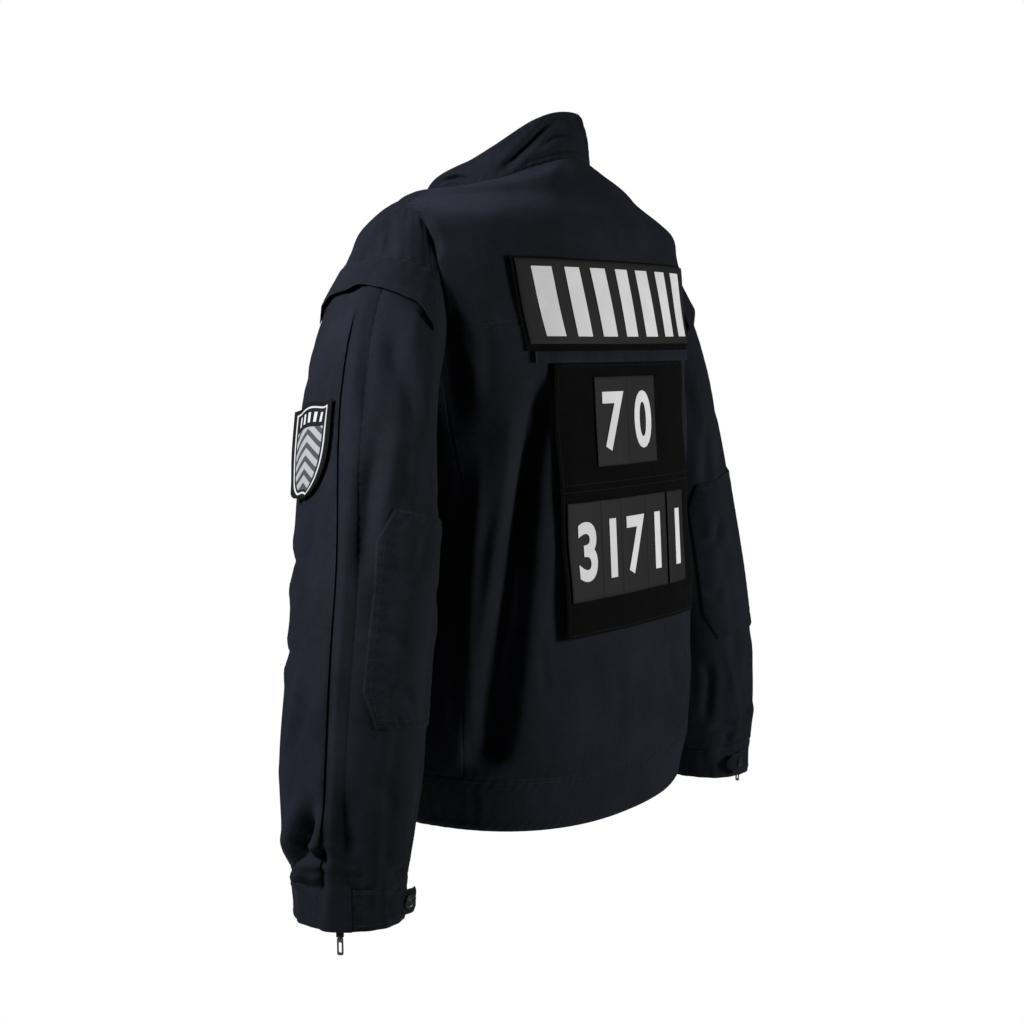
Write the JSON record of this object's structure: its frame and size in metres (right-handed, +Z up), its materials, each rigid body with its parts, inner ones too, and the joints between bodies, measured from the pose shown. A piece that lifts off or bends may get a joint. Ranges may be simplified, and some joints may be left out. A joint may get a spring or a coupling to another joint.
{
  "type": "duty jacket",
  "caption": "Zip-front duty jacket in worn shape with stand collar, plates across the back, elbow patches, zipped cuffs with press-stud tabs, and an arm badge.",
  "frame": {"origin": "middle of the neck opening at the height of the top of the shoulders, where a neck holds it", "axes": "+Z up, +Y out of the back, +X to the wearer's left"},
  "size_m": [0.7844, 0.3128, 0.765],
  "materials": {
    "navy_cloth": "matt woven cloth, near-black navy",
    "zip_tape": "woven tape with moulded teeth",
    "loop_pile": "short loop pile",
    "sign_grey": "dark grey reflective weave",
    "badge": "embroidered twill",
    "lettering": "off-white figures and bars",
    "thread": "sewing thread",
    "zip_teeth": "moulded teeth",
    "dark_metal": "dark grey painted zinc"
  },
  "bodies": {
    "jacket": {"back_panel": "navy_cloth", "back_sign": "sign_grey", "back_yoke": "navy_cloth", "channel_strip": "navy_cloth", "collar": "navy_cloth", "cuff_left": "navy_cloth", "cuff_right": "navy_cloth", "cuff_stud_left": "dark_metal", "cuff_stud_right": "dark_metal", "cuff_tab_left": "navy_cloth", "cuff_tab_right": "navy_cloth", "elbow_patch_left": "navy_cloth", "elbow_patch_right": "navy_cloth", "front_left": "navy_cloth", "front_right": "navy_cloth", "front_slider": "dark_metal", "front_zip_left": "zip_tape", "front_zip_right": "zip_tape", "loop_panel_lower": "loop_pile", "loop_panel_upper": "loop_pile", "number_tile_1": "sign_grey", "number_tile_2": "sign_grey", "overlap_flap_left": "navy_cloth", "overlap_flap_right": "navy_cloth", "row_tile_1": "sign_grey", "row_tile_2": "sign_grey", "row_tile_3": "sign_grey", "row_tile_4": "sign_grey", "row_tile_5": "sign_grey", "shoulder_cap_left": "navy_cloth", "shoulder_cap_right": "navy_cloth", "side_panel_left": "navy_cloth", "side_panel_right": "navy_cloth", "sign_loop_strip": "loop_pile", "sleeve_back_left": "navy_cloth", "sleeve_back_right": "navy_cloth", "sleeve_badge": "badge", "sleeve_front_left": "navy_cloth", "sleeve_front_right": "navy_cloth", "sleeve_placket_left": "navy_cloth", "sleeve_placket_right": "navy_cloth", "sleeve_slider_left": "dark_metal", "sleeve_slider_right": "dark_metal", "sleeve_zip_left": "zip_tape", "sleeve_zip_right": "zip_tape", "waistband": "navy_cloth"},
    "front_pull_tab": {"front_pull": "dark_metal"},
    "sleeve_pull_left_tab": {"sleeve_pull_left": "dark_metal"},
    "sleeve_pull_right_tab": {"sleeve_pull_right": "dark_metal"}
  },
  "joints": [
    {"name": "front_pull_swing", "type": "hinge", "parent": "jacket", "child": "front_pull_tab", "pos_m": [0, -0.12923, -0.13007], "axis": [-1, 0, 0], "range_deg": [0, 150]},
    {"name": "sleeve_pull_left_swing", "type": "hinge", "parent": "jacket", "child": "sleeve_pull_left_tab", "pos_m": [0.38067, 0.07548, -0.68953], "axis": [0.3981, -0.9173, 0], "range_deg": [-80, 80]},
    {"name": "sleeve_pull_right_swing", "type": "hinge", "parent": "jacket", "child": "sleeve_pull_right_tab", "pos_m": [-0.38067, 0.07548, -0.68953], "axis": [0.3981, 0.9173, 0], "range_deg": [-80, 80]}
  ]
}
